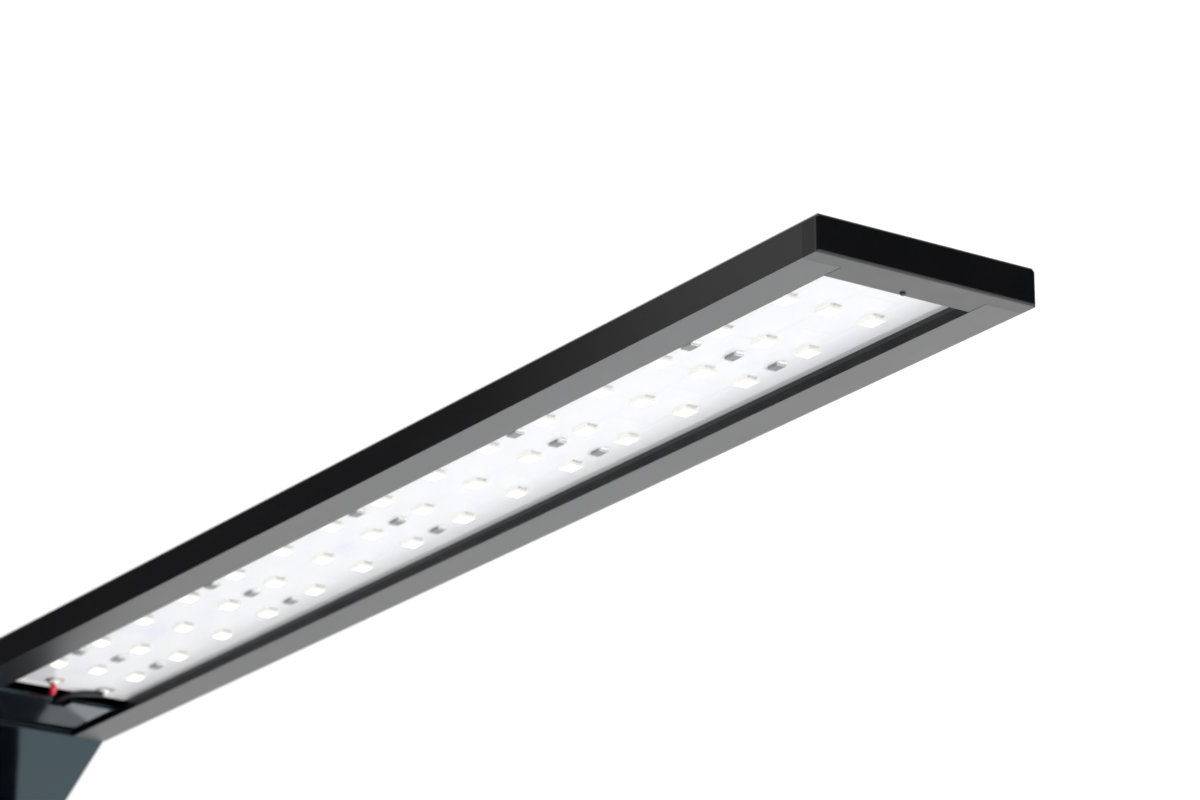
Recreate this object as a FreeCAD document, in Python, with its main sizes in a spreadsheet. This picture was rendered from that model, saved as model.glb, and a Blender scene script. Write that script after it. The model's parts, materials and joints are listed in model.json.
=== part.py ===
"""Clip-on LED light for a small aquarium.

A slim aluminium channel holds a row-and-column LED board behind a clear strip.
Its root end is mitred onto a hollow moulded neck, which drops to a U-shaped clamp
that hangs on the tank's rim and is tightened by two thumbscrews.
A two-core cable leaves the neck for an in-line push switch and a barrel plug.

Frame: +X from the clamp towards the light's free end, +Z up, Y across the light.
Origin: centre of the rim seat, where the clamp rests on the top of the glass.
Lengths in millimetres.
"""
import FreeCAD
import Part
import math
import os
import re

import Sketcher
from FreeCAD import Placement, Rotation, Vector

SIZES = [
    # head
    ("head_height", 47.0, "underside of the light above the rim seat"),
    ("head_width", 41.3, "outside width of the channel, neck and clamp"),
    ("head_thick", 6.2, "outside thickness of the channel and the neck"),
    ("opening_width", 27.4, "light opening between the lips"),
    ("lip_thick", 1.6, "thickness of the two lips that frame the opening"),
    ("slot_width", 30.6, "inside width above the lips"),
    ("tip_x", 308.8, "outer face of the end cap"),
    ("bend_x", 15.8, "mitre between channel and neck, on the underside"),
    ("edge_chamfer", 0.55, "bevel along the top edges"),
    ("corner_radius", 0.5, "rounding of moulded corners"),
    ("void_wide", 2.4, "hollow in each side rail"),
    ("void_tall", 3.2, "height of that hollow"),
    ("void_floor", 1.5, "underside up to the hollow"),
    ("fit_gap", 0.1, "clearance round plugs and pegs"),
    # light engine
    ("led_pitch", 16.6667, "column spacing, 60 a metre"),
    ("led_rows_pitch", 8.27, "row spacing"),
    ("led_columns", 15.0, "columns"),
    ("led_rows", 3.0, "rows"),
    ("first_led_x", 284.0, "column nearest the free end"),
    ("led_recess", 2.46, "underside up to the LED faces"),
    ("led_long", 3.5, "LED package along X"),
    ("led_wide", 2.8, "LED package along Y"),
    ("led_tall", 0.7, "LED package height"),
    ("led_rim", 0.35, "wall of the LED package round its window"),
    ("lens_deep", 0.4, "depth of the LED window"),
    ("board_thick", 1.0, "LED board"),
    ("board_width", 30.0, "LED board"),
    ("board_start_x", 34.0, "board end nearest the neck"),
    ("board_end_x", 304.2, "board end nearest the cap"),
    ("tape_thick", 0.2, "heat tape"),
    ("tape_width", 26.0, "heat tape"),
    ("cover_thick", 0.5, "clear strip"),
    ("cover_width", 30.2, "clear strip"),
    ("cover_start_x", 41.6, "clear strip end nearest the neck"),
    ("cover_end_x", 304.9, "clear strip end nearest the cap"),
    ("resistor_long", 3.2, "resistor with its terminals"),
    ("resistor_wide", 1.6, "resistor"),
    ("resistor_tall", 0.55, "resistor"),
    ("terminal_long", 0.4, "tinned end of a resistor"),
    ("solder_radius", 1.2, "solder joint on the board"),
    ("solder_tall", 0.95, "solder joint"),
    ("lead_radius", 0.6, "insulated lead inside the light"),
    ("lead_gap", 0.15, "leads above the ledge they cross"),
    ("lead_bend", 4.0, "bend radius of the leads"),
    ("red_pad_x", 38.9, "solder joint of the red lead"),
    ("red_pad_y", -2.9, "solder joint of the red lead"),
    ("black_pad_x", 38.5, "solder joint of the black lead"),
    ("black_pad_y", 8.3, "solder joint of the black lead"),
    # end cap
    ("cap_thick", 3.5, "end cap plate"),
    ("flange_long", 4.1, "cap flange between the lips"),
    ("flange_thick", 1.55, "cap flange"),
    ("cap_peg_long", 8.0, "pegs in the rail hollows"),
    # neck
    ("slope_angle", 30.5, "neck slope below horizontal"),
    ("neck_front_x", -6.0, "front face of the upright part of the neck"),
    ("neck_foot_z", 17.0, "bottom of the neck"),
    ("neck_cover_thick", 1.6, "neck front cover"),
    ("ledge_end_x", 33.8, "end of the neck cover's ledge that closes the opening"),
    ("ledge_recess", 0.85, "ledge above the underside"),
    ("notch_long", 3.6, "notch for the leads in the ledge's end"),
    ("notch_wide", 4.0, "notch for the leads, across"),
    ("notch_y", 1.6, "middle of that notch"),
    ("neck_wall", 2.0, "neck side walls"),
    ("neck_floor_z", 22.0, "bottom of the hollow in the neck"),
    ("neck_peg_long", 6.0, "locating pegs into the rail hollows"),
    ("tongue_long", 12.0, "neck tongue down into the clamp"),
    ("tongue_thick", 3.4, "neck tongue"),
    ("tongue_width", 30.0, "neck tongue"),
    ("bracket_thick", 1.0, "steel elbow bracket"),
    ("bracket_width", 24.0, "steel elbow bracket"),
    ("bracket_leg", 6.5, "each leg of the bracket"),
    ("screw_spacing", 16.0, "pairs of screws, across the light"),
    ("screw_radius", 1.0, "small countersunk screws"),
    ("screw_head_radius", 1.9, "small countersunk screws"),
    ("screw_head_deep", 0.9, "small countersunk screws"),
    # clamp
    ("jaw_back_x", -15.0, "back of the outer jaw"),
    ("jaw_front_x", 12.0, "front of the inner jaw"),
    ("jaw_thick", 5.0, "inner jaw"),
    ("gusset_front_z", 8.0, "top of the inner jaw"),
    ("outer_jaw_z", -31.0, "bottom of the outer jaw"),
    ("inner_jaw_z", -28.0, "bottom of the inner jaw"),
    ("liner_thick", 1.0, "rubber liners"),
    ("liner_width", 34.0, "rubber liners across the clamp"),
    ("jaw_round", 2.0, "rounding of the jaw tips"),
    ("clamp_screw_z", 11.0, "screws through the clamp into the neck tongue"),
    ("thumbscrew_y", 12.0, "thumbscrews either side of centre"),
    ("thumbscrew_z", -16.0, "thumbscrew axes"),
    ("thread_bore", 3.0, "radius of the threaded insert's bore"),
    ("insert_radius", 4.0, "outside of the brass insert"),
    ("insert_long", 6.0, "brass insert"),
    ("rod_radius", 2.94, "thumbscrew thread, outside"),
    ("pivot_radius", 2.05, "thumbscrew tip in the pad"),
    ("pivot_long", 1.35, "thumbscrew tip"),
    ("pad_radius", 7.0, "pressure pad"),
    ("pad_thick", 2.0, "pressure pad"),
    ("pad_back_x", -7.3, "back of the pressure pad when open"),
    ("recess_deep", 1.5, "pad recess in the outer jaw"),
    ("knob_front_x", -27.0, "front of the knob when open"),
    ("knob_thick", 9.0, "knob"),
    ("knob_radius", 8.0, "knob"),
    ("knob_flutes", 12.0, "grip flutes round a knob"),
    # cable, switch and plug
    ("cable_radius", 1.9, "round two-core cable"),
    ("cable_bend", 11.0, "bend radius of the cable behind the neck"),
    ("gland_z", 27.0, "cable exit on the back of the neck"),
    ("gland_radius", 3.0, "gland where it passes the wall"),
    ("gland_tail", 8.0, "gland behind the neck"),
    ("switch_x", -37.0, "split plane of the switch, and the cable's drop"),
    ("switch_z", -85.0, "middle of the switch"),
    ("switch_long", 52.0, "switch"),
    ("switch_wide", 20.0, "switch"),
    ("switch_half", 6.5, "each half shell of the switch"),
    ("switch_wall", 1.6, "switch shell wall"),
    ("switch_corner", 5.0, "switch corners"),
    ("switch_screw_y", 6.0, "switch screws off the middle line"),
    ("switch_screw_z", 23.0, "switch screws from the middle of the switch"),
    ("switch_screw_deep", 1.5, "counterbores of the switch screws"),
    ("button_long", 12.0, "switch button"),
    ("button_wide", 9.0, "switch button"),
    ("button_proud", 1.2, "switch button above its shell"),
    ("plug_top_z", -140.0, "cable end of the plug"),
    ("plug_long", 26.0, "plug grip with its tail"),
    ("plug_radius", 5.2, "plug grip"),
    ("barrel_radius", 2.75, "plug barrel outside"),
    ("barrel_long", 9.5, "plug barrel"),
    ("barrel_bore", 1.05, "centre contact bore"),
]
VALUE = {alias: value for alias, value, _ in SIZES}

# Heights built up from the underside of the head, as formulas of the sheet's cells.
BOARD_FACE = "head_height + led_recess + led_tall"
HEAD_TOP = "head_height + head_thick"
RAIL_END = "tip_x - cap_thick"
VOID_Y = "(slot_width + head_width) / 4"
WALL_DEPTH = "led_recess + led_tall + board_thick + tape_thick"
WEB_FACE = "head_height + " + WALL_DEPTH

doc = FreeCAD.newDocument("AquariumLight")
sheet = doc.addObject("Spreadsheet::Sheet", "Sizes")
PIECES = []


def fill_sheet():
    """Write every driving size into the sheet, one aliased row each."""
    for row, (alias, value, meaning) in enumerate(SIZES, start=1):
        sheet.set("A%d" % row, str(value))
        sheet.setAlias("A%d" % row, alias)
        sheet.set("B%d" % row, meaning)
    doc.recompute()


def cells(formula):
    """Turn a formula of plain aliases into one that reads the sheet."""
    return re.sub(r"[a-z]+(?:_[a-z]+)+", lambda word: "Sizes." + word.group(0), formula)


def number(formula):
    """The present value of a formula, for pieces whose shape is set directly."""
    return float(sheet.evalExpression(cells(formula)))


def bind(target, **formulas):
    """Bind properties to formulas; a double underscore stands for a dot."""
    for name, formula in formulas.items():
        target.setExpression(name.replace("__", "."), cells(formula))


def piece(kind, label):
    """A named sub-part of the document."""
    made = doc.addObject(kind, label)
    made.Label = label
    PIECES.append(made)
    return made


def body(label):
    """A PartDesign body that may hold several separate, identical solids."""
    made = piece("PartDesign::Body", label)
    made.AllowCompound = True
    return made


def sketch(owner, name, role, height="0"):
    """An empty sketch on one of the body's own origin planes, moved along its normal."""
    plane = [feature for feature in owner.Origin.OriginFeatures if feature.Role == role][0]
    made = owner.newObject("Sketcher::SketchObject", name)
    made.AttachmentSupport = [(plane, "")]
    made.MapMode = "FlatFace"
    bind(made, AttachmentOffset__Base__z=height)
    return made


def outline(target, corners):
    """Draw a closed polygon; each corner is a pair of formulas, measured from the origin."""
    start = target.GeometryCount
    count = len(corners)
    spots = [Vector(number(across), number(up), 0) for across, up in corners]
    for index in range(count):
        line = Part.LineSegment(spots[index], spots[(index + 1) % count])
        target.addGeometry(line, False)
    for index in range(count):
        following = start + (index + 1) % count
        target.addConstraint(Sketcher.Constraint("Coincident", start + index, 2, following, 1))
    for index, corner in enumerate(corners):
        for direction, formula in zip(("DistanceX", "DistanceY"), corner):
            rule = Sketcher.Constraint(direction, -1, 1, start + index, 1, number(formula))
            place = target.addConstraint(rule)
            target.setExpression("Constraints[%d]" % place, cells(formula))


def rectangle(target, left, right, bottom, top):
    """A rectangle given by four formulas."""
    outline(target, [(left, bottom), (right, bottom), (right, top), (left, top)])


def circle(target, across, up, radius):
    """A circle whose centre and radius are formulas."""
    centre = Vector(number(across), number(up), 0)
    index = target.addGeometry(Part.Circle(centre, Vector(0, 0, 1), number(radius)), False)
    rules = [
        (Sketcher.Constraint("DistanceX", -1, 1, index, 3, number(across)), across),
        (Sketcher.Constraint("DistanceY", -1, 1, index, 3, number(up)), up),
        (Sketcher.Constraint("Radius", index, number(radius)), radius),
    ]
    for rule, formula in rules:
        place = target.addConstraint(rule)
        target.setExpression("Constraints[%d]" % place, cells(formula))


def extrude(owner, profile, length, kind="Pad", both_ways=False, reverse=False):
    """Pad or pocket a sketch by a formula's length."""
    made = owner.newObject("PartDesign::" + kind, profile.Name + "_" + kind.lower())
    made.Profile = profile
    made.Reversed = reverse
    made.Midplane = both_ways
    bind(made, Length=length)
    doc.recompute()
    return made


def pocket(owner, profile, length, both_ways=False, reverse=False):
    """Cut a sketch out of the body, and make sure that it does cut."""
    before = owner.Shape.Volume
    made = extrude(owner, profile, length, "Pocket", both_ways, reverse)
    if made.Shape.Volume > before - 1e-6:
        raise RuntimeError(made.Name + " removes nothing")
    return made


def spin(owner, profile, kind="Revolution"):
    """Turn a sketch about its own vertical axis, as solid or as a groove."""
    made = owner.newObject("PartDesign::" + kind, profile.Name + "_" + kind.lower())
    made.Profile = profile
    made.ReferenceAxis = (profile, ["V_Axis"])
    made.Angle = 360
    doc.recompute()
    return made


def edges_where(shape, test):
    """Names of the edges whose middle point and tangent pass a test."""
    names = []
    for index, edge in enumerate(shape.Edges, start=1):
        middle = (edge.FirstParameter + edge.LastParameter) / 2
        if test(edge.valueAt(middle), edge.tangentAt(middle)):
            names.append("Edge%d" % index)
    return names


def soften(owner, test, size, kind="Fillet"):
    """Round or bevel the edges of the body's tip that pass a test."""
    tip = owner.Tip
    chosen = edges_where(tip.Shape, test)
    made = owner.newObject("PartDesign::" + kind, tip.Name + "_" + kind.lower())
    made.Base = (tip, chosen)
    bind(made, **{"Radius" if kind == "Fillet" else "Size": size})
    doc.recompute()
    if made.Shape.isNull() or not made.Shape.isValid():
        raise RuntimeError(made.Name + " of " + owner.Label + " is not valid")
    return made


def repeat(owner, guide, axis, spacing, count, row_spacing=None, rows=None, only=None):
    """Repeat the whole body, or only some features, along a sketch axis and perhaps in rows."""
    made = owner.newObject("PartDesign::LinearPattern", guide.Name + "_pattern")
    if only:
        made.Originals = only
    else:
        made.TransformMode = "Whole shape"
    made.Direction = (guide, [axis])
    made.Mode = "Spacing"
    bind(made, Offset=spacing, Occurrences=count)
    if rows:
        made.Direction2 = (guide, ["V_Axis"])
        made.Mode2 = "Extent"
        bind(made, Length2="%s * (%s - 1)" % (row_spacing, rows), Occurrences2=rows)
    owner.Tip = made
    doc.recompute()
    return made


def block(label, x_start, x_end, y_start, y_end, z_start, z_end):
    """A plain rectangular piece between six formulas."""
    made = piece("Part::Box", label)
    bind(
        made,
        Length="(%s) - (%s)" % (x_end, x_start),
        Width="(%s) - (%s)" % (y_end, y_start),
        Height="(%s) - (%s)" % (z_end, z_start),
        Placement__Base__x=x_start,
        Placement__Base__y=y_start,
        Placement__Base__z=z_start,
    )
    return made


# ---------------------------------------------------------------- the head

def screw_outline(target, head_radius, shank_radius, head_deep, length):
    """Half section of a countersunk screw whose head top is at the sketch's origin."""
    outline(target, [
        ("0", "0"),
        (head_radius, "0"),
        (shank_radius, "0 - (%s)" % head_deep),
        (shank_radius, "0 - (%s)" % length),
        ("0", "0 - (%s)" % length),
    ])


def make_head_extrusion():
    """Black channel: web on top, two hollow rails, lips that frame the opening."""
    made = body("head_extrusion")
    section = sketch(made, "section", "YZ_Plane", "bend_x - head_thick")
    half, top = "head_width / 2", HEAD_TOP
    opening, lip = "opening_width / 2", "head_height + lip_thick"
    slot = "slot_width / 2"
    outline(section, [
        (opening, "head_height"), (half, "head_height"),
        (half, top + " - edge_chamfer"), (half + " - edge_chamfer", top),
        ("0 - (%s - edge_chamfer)" % half, top), ("0 - " + half, top + " - edge_chamfer"),
        ("0 - " + half, "head_height"), ("0 - " + opening, "head_height"),
        ("0 - " + opening, lip), ("0 - " + slot, lip),
        ("0 - " + slot, WEB_FACE), (slot, WEB_FACE),
        (slot, lip), (opening, lip),
    ])
    floor = "head_height + void_floor"
    for side in ("0 - (%s)" % VOID_Y, VOID_Y):
        rectangle(section, side + " - void_wide / 2", side + " + void_wide / 2",
                  floor, floor + " + void_tall")
    extrude(made, section, "%s - (bend_x - head_thick)" % RAIL_END)

    mitre = sketch(made, "mitre", "XZ_Plane")
    outline(mitre, [
        ("bend_x", "head_height"),
        ("bend_x - head_thick * tan(slope_angle * 1 deg / 2)", HEAD_TOP),
        ("bend_x - 2 * head_thick", HEAD_TOP),
        ("bend_x - 2 * head_thick", "head_height"),
    ])
    pocket(made, mitre, "head_width * 2", both_ways=True)

    seat = sketch(made, "screw_seat", "XZ_Plane", "0 - screw_spacing / 2")
    bind(seat, AttachmentOffset__Base__x="bend_x + bracket_leg / 2",
         AttachmentOffset__Base__y=HEAD_TOP)
    cut_screw_seats(made, seat)
    return made


def cut_screw_seats(owner, seat):
    """Two countersunk seats across the light, the first one at a sketch's origin."""
    screw_outline(seat, "screw_head_radius + 0.02", "screw_radius + 0.02", "screw_head_deep", "head_thick")
    groove = spin(owner, seat, "Groove")
    repeat(owner, seat, "N_Axis", "screw_spacing", "2", only=[groove])


def make_end_cap():
    """Moulded cap: a plate the size of the channel, a flange and two pegs."""
    made = body("end_cap")
    plate = sketch(made, "plate", "YZ_Plane", RAIL_END)
    rectangle(plate, "0 - head_width / 2", "head_width / 2", "head_height", HEAD_TOP)
    extrude(made, plate, "cap_thick")
    outer_face = VALUE["tip_x"] - 0.01
    top = number(HEAD_TOP) - 0.01

    def top_side_edge(place, tangent):
        return place.z > top and abs(tangent.x) > 0.99

    def face_edge(place, tangent):
        return place.x > outer_face

    soften(made, top_side_edge, "edge_chamfer", "Chamfer")
    soften(made, face_edge, "corner_radius")

    flange = sketch(made, "flange", "YZ_Plane", RAIL_END)
    rectangle(flange, "0 - (opening_width / 2 - fit_gap / 2)", "opening_width / 2 - fit_gap / 2",
              "head_height", "head_height + flange_thick")
    extrude(made, flange, "flange_long", reverse=True)
    pegs = sketch(made, "pegs", "YZ_Plane", RAIL_END)
    for side in ("0 - (%s)" % VOID_Y, VOID_Y):
        rectangle(pegs, side + " - void_wide / 2 + fit_gap", side + " + void_wide / 2 - fit_gap",
                  "head_height + void_floor + fit_gap",
                  "head_height + void_floor + void_tall - fit_gap")
    extrude(made, pegs, "cap_peg_long", reverse=True)
    return made


def make_light_engine():
    """LED board, its heat tape and the clear strip that slides in above the lips."""
    block("led_board", "board_start_x", "board_end_x", "0 - board_width / 2", "board_width / 2",
          BOARD_FACE, BOARD_FACE + " + board_thick")
    block("thermal_tape", "board_start_x + 1", "board_end_x - 1", "0 - tape_width / 2",
          "tape_width / 2", BOARD_FACE + " + board_thick", WEB_FACE)
    block("clear_cover", "cover_start_x", "cover_end_x", "0 - cover_width / 2", "cover_width / 2",
          "head_height + lip_thick", "head_height + lip_thick + cover_thick")


def spread_leds(made, guide):
    """Repeat one LED at every column and row of the board."""
    repeat(made, guide, "H_Axis", "led_pitch", "led_columns", "led_rows_pitch", "led_rows")


def led_rectangle(target, rim):
    """Outline of the LED at the far corner of the grid, drawn in by a rim."""
    x_centre = "first_led_x - led_pitch * (led_columns - 1)"
    y_centre = "0 - led_rows_pitch * (led_rows - 1) / 2"
    half_long = "(led_long / 2 - %s)" % rim
    half_wide = "(led_wide / 2 - %s)" % rim
    rectangle(target, "%s - %s" % (x_centre, half_long), "%s + %s" % (x_centre, half_long),
              "%s - %s" % (y_centre, half_wide), "%s + %s" % (y_centre, half_wide))


def make_leds():
    """White packages with a window, and the phosphor fill in each window."""
    package = body("led_packages")
    base = sketch(package, "package", "XY_Plane", "head_height + led_recess")
    led_rectangle(base, "0")
    extrude(package, base, "led_tall")
    window = sketch(package, "window", "XY_Plane", "head_height + led_recess")
    led_rectangle(window, "led_rim")
    pocket(package, window, "lens_deep", reverse=True)
    spread_leds(package, base)

    fill = body("led_lenses")
    face = sketch(fill, "fill", "XY_Plane", "head_height + led_recess")
    led_rectangle(face, "led_rim")
    extrude(fill, face, "lens_deep")
    spread_leds(fill, face)


def make_resistors():
    """One chip resistor to each string of three LEDs, midway between two columns."""
    x_centre = "first_led_x - led_pitch * (led_columns - 1.5)"
    y_centre = "0 - led_rows_pitch * (led_rows - 1) / 2"
    face = "head_height + led_recess + led_tall - resistor_tall"
    chip_half = "(resistor_long / 2 - terminal_long)"

    chips = body("chip_resistors")
    chip = sketch(chips, "chip", "XY_Plane", face)
    rectangle(chip, "%s - %s" % (x_centre, chip_half), "%s + %s" % (x_centre, chip_half),
              y_centre + " - resistor_wide / 2", y_centre + " + resistor_wide / 2")
    extrude(chips, chip, "resistor_tall")

    ends = body("resistor_terminals")
    end = sketch(ends, "terminal", "XY_Plane", face)
    for low, high in (("0 - resistor_long / 2", "0 - " + chip_half), (chip_half, "resistor_long / 2")):
        rectangle(end, "%s + (%s)" % (x_centre, low), "%s + (%s)" % (x_centre, high),
                  y_centre + " - resistor_wide / 2", y_centre + " + resistor_wide / 2")
    extrude(ends, end, "resistor_tall")
    for made, guide in ((chips, chip), (ends, end)):
        repeat(made, guide, "H_Axis", "led_pitch * 3", "led_columns / 3", "led_rows_pitch", "led_rows")


def rounded_path(spots, bend):
    """A wire of straight runs and arcs through corner points; arcs shrink on short runs."""
    edges = []
    start = spots[0]
    for before, corner, after in zip(spots, spots[1:], spots[2:]):
        back = (before - corner).normalize()
        on = (after - corner).normalize()
        turn = math.pi - back.getAngle(on)
        if turn < 0.01:
            continue
        longest = 0.49 * min((before - corner).Length, (after - corner).Length)
        cut = min(bend * math.tan(turn / 2), longest)
        radius = cut / math.tan(turn / 2)
        inwards = (back + on).normalize()
        middle = corner + inwards * (radius / math.cos(turn / 2) - radius)
        edges.append(Part.makeLine(start, corner + back * cut))
        edges.append(Part.Arc(corner + back * cut, middle, corner + on * cut).toShape())
        start = corner + on * cut
    edges.append(Part.makeLine(start, spots[-1]))
    return Part.Wire(edges)


def flexible_lead(label, points, radius, bend):
    """A round lead along straight runs and bends through points given as formulas."""
    made = piece("Part::Feature", label)
    spots = [Vector(*[number(part) for part in point]) for point in points]
    ring = Part.Wire(Part.makeCircle(number(radius), spots[0], spots[1] - spots[0]))
    made.Shape = rounded_path(spots, number(bend)).makePipeShell([ring], True, False)
    return made


def make_solder_joints():
    """One dome of solder under the board for each lead."""
    domes = []
    for colour in ("red", "black"):
        dome = doc.addObject("Part::Ellipsoid", colour + "_dome")
        dome.Angle1 = -90
        dome.Angle2 = 0
        bind(dome, Radius1="solder_tall", Radius2="solder_radius", Radius3="solder_radius",
             Placement__Base__x=colour + "_pad_x", Placement__Base__y=colour + "_pad_y",
             Placement__Base__z=BOARD_FACE)
        domes.append(dome)
    joints = piece("Part::Compound", "solder_joints")
    joints.Links = domes


def make_lead(colour, entry, over_ledge, in_head, in_slope, at_cable):
    """A soldered lead through the neck to the cable. Its Y places are given from board to cable."""
    at_board = BOARD_FACE + " - lead_radius - 0.06"
    over_notch_x = "ledge_end_x - notch_long - 0.4"
    shallow = "neck_cover_thick + lead_radius + 0.4"
    deep = "neck_cover_thick + lead_radius + 1.0"
    elbow_z = neck_elbow(deep)[1]
    cable_face = "neck_front_x - (%s) + 0.5" % WALL_DEPTH
    flexible_lead("lead_wire_" + colour, [
        (colour + "_pad_x - solder_radius * 0.6", colour + "_pad_y", at_board),
        ("ledge_end_x + 1.7", entry, at_board + " - lead_gap"),
        (over_notch_x, over_ledge, "head_height + neck_cover_thick + lead_radius + lead_gap"),
        ("bend_x + bracket_leg + 1", in_head, "head_height + " + shallow),
        ("bend_x - 1", in_head, "head_height + " + shallow),
        ("neck_front_x + 2", in_slope, slope_height("neck_front_x + 2", shallow)),
        ("neck_front_x - (%s)" % deep, at_cable, elbow_z + " - 1"),
        ("neck_front_x - (%s)" % shallow, at_cable, "gland_z"),
        (cable_face + " + 0.5", at_cable, "gland_z"),
    ], "lead_radius", "lead_bend")


def make_board_wiring():
    """Two leads, side by side from the board to the cable, and their solder joints."""
    make_solder_joints()
    make_lead("red", "-1.2", "0.6", "0.2", "0.2", "-0.75")
    make_lead("black", "3.6", "2.5", "2.6", "2.0", "0.75")


# ---------------------------------------------------------------- the neck

def neck_corner(depth):
    """Corner of the neck at the mitre, a depth inside its underside."""
    return ("bend_x - (%s) * tan(slope_angle * 1 deg / 2)" % depth, "head_height + (%s)" % depth)


def neck_elbow(depth):
    """Corner between the slope and the upright part, a depth inside the front."""
    fall = "tan(slope_angle * 1 deg) * (bend_x - neck_front_x + (%s))" % depth
    height = "head_height - %s + (%s) / cos(slope_angle * 1 deg)" % (fall, depth)
    return ("neck_front_x - (%s)" % depth, height)


def slope_height(x_place, depth):
    """Height at an X place in the slope, a depth inside its underside."""
    fall = "tan(slope_angle * 1 deg) * (bend_x - (%s))" % x_place
    return "head_height - %s + (%s) / cos(slope_angle * 1 deg)" % (fall, depth)


def neck_strip(target, near, far, foot):
    """Section of the bent neck between two depths, down to a foot height."""
    outline(target, [
        neck_corner(near), neck_elbow(near), ("neck_front_x - (%s)" % near, foot),
        ("neck_front_x - (%s)" % far, foot), neck_elbow(far), neck_corner(far),
    ])


def neck_depth(place):
    """How far a point lies behind the neck's front and underside."""
    slope = math.radians(VALUE["slope_angle"])
    above = place.z - VALUE["head_height"] + math.tan(slope) * (VALUE["bend_x"] - place.x)
    return max(VALUE["neck_front_x"] - place.x, above * math.cos(slope))


def is_long_edge(place, tangent):
    """True on an edge that runs along either side of the neck."""
    return abs(place.y) > VALUE["head_width"] / 2 - 0.01 and abs(tangent.z) > 0.3


def make_neck_shell():
    """Moulded rear of the neck: back and side walls, pegs above, tongue below."""
    made = body("neck_shell")
    outside = sketch(made, "outside", "XZ_Plane")
    neck_strip(outside, "neck_cover_thick", "head_thick", "neck_foot_z")
    extrude(made, outside, "head_width", both_ways=True)
    hollow = sketch(made, "hollow", "XZ_Plane")
    neck_strip(hollow, "neck_cover_thick", WALL_DEPTH, "neck_floor_z")
    pocket(made, hollow, "head_width - 2 * neck_wall", both_ways=True)

    def outer_long_edge(place, tangent):
        return is_long_edge(place, tangent) and neck_depth(place) > VALUE["head_thick"] - 0.01

    soften(made, outer_long_edge, "edge_chamfer", "Chamfer")

    pegs = sketch(made, "pegs", "YZ_Plane", "bend_x - 1")
    for side in ("0 - (%s)" % VOID_Y, VOID_Y):
        rectangle(pegs, side + " - void_wide / 2 + fit_gap", side + " + void_wide / 2 - fit_gap",
                  "head_height + void_floor + fit_gap",
                  "head_height + void_floor + void_tall - fit_gap")
    extrude(made, pegs, "neck_peg_long + 1")

    tongue = sketch(made, "tongue", "XY_Plane", "neck_foot_z")
    rectangle(tongue, "neck_front_x - head_thick + 1", "neck_front_x - head_thick + 1 + tongue_thick",
              "0 - tongue_width / 2", "tongue_width / 2")
    extrude(made, tongue, "tongue_long", reverse=True)

    gland = sketch(made, "gland_hole", "YZ_Plane", "neck_front_x - head_thick")
    circle(gland, "0", "gland_z", "gland_radius + 0.02")
    pocket(made, gland, "4", both_ways=True)

    seat = sketch(made, "bracket_screw_seat", "XZ_Plane", "0 - screw_spacing / 2")
    place_slope_sketch(seat)
    cut_screw_seats(made, seat)

    pilot = sketch(made, "tongue_pilot", "YZ_Plane", "neck_front_x - head_thick")
    for side in ("0 - screw_spacing / 2", "screw_spacing / 2"):
        circle(pilot, side, "clamp_screw_z", "screw_radius + 0.02")
    pocket(made, pilot, "tongue_thick * 3", both_ways=True)
    return made


def place_slope_sketch(target):
    """Put a sketch's origin on the top of the slope, its vertical axis square to it."""
    along = "(bracket_leg / 2)"
    top_x, top_z = neck_corner("head_thick")
    bind(target,
         AttachmentOffset__Base__x="%s - %s * cos(slope_angle * 1 deg)" % (top_x, along),
         AttachmentOffset__Base__y="%s - %s * sin(slope_angle * 1 deg)" % (top_z, along))
    target.AttachmentOffset = Placement(target.AttachmentOffset.Base,
                                        Rotation(Vector(0, 0, 1), VALUE["slope_angle"]))


def make_neck_cover():
    """Glossy front cover of the neck, with a thin ledge that closes the light opening."""
    made = body("neck_cover")
    strip = sketch(made, "strip", "XZ_Plane")
    neck_strip(strip, "0", "neck_cover_thick", "neck_foot_z")
    extrude(made, strip, "head_width", both_ways=True)

    def front_side_edge(place, tangent):
        return is_long_edge(place, tangent) and neck_depth(place) < 0.01

    soften(made, front_side_edge, "corner_radius * 0.8", "Chamfer")
    ledge = sketch(made, "ledge", "XZ_Plane")
    outline(ledge, [
        neck_corner("ledge_recess"),
        ("ledge_end_x", "head_height + ledge_recess"),
        ("ledge_end_x", "head_height + neck_cover_thick"),
        neck_corner("neck_cover_thick"),
    ])
    extrude(made, ledge, "opening_width - fit_gap", both_ways=True)
    notch = sketch(made, "lead_notch", "XY_Plane", "head_height + neck_cover_thick")
    rectangle(notch, "ledge_end_x - notch_long", "ledge_end_x + 1",
              "notch_y - notch_wide / 2", "notch_y + notch_wide / 2")
    pocket(made, notch, "neck_cover_thick")
    return made


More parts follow.
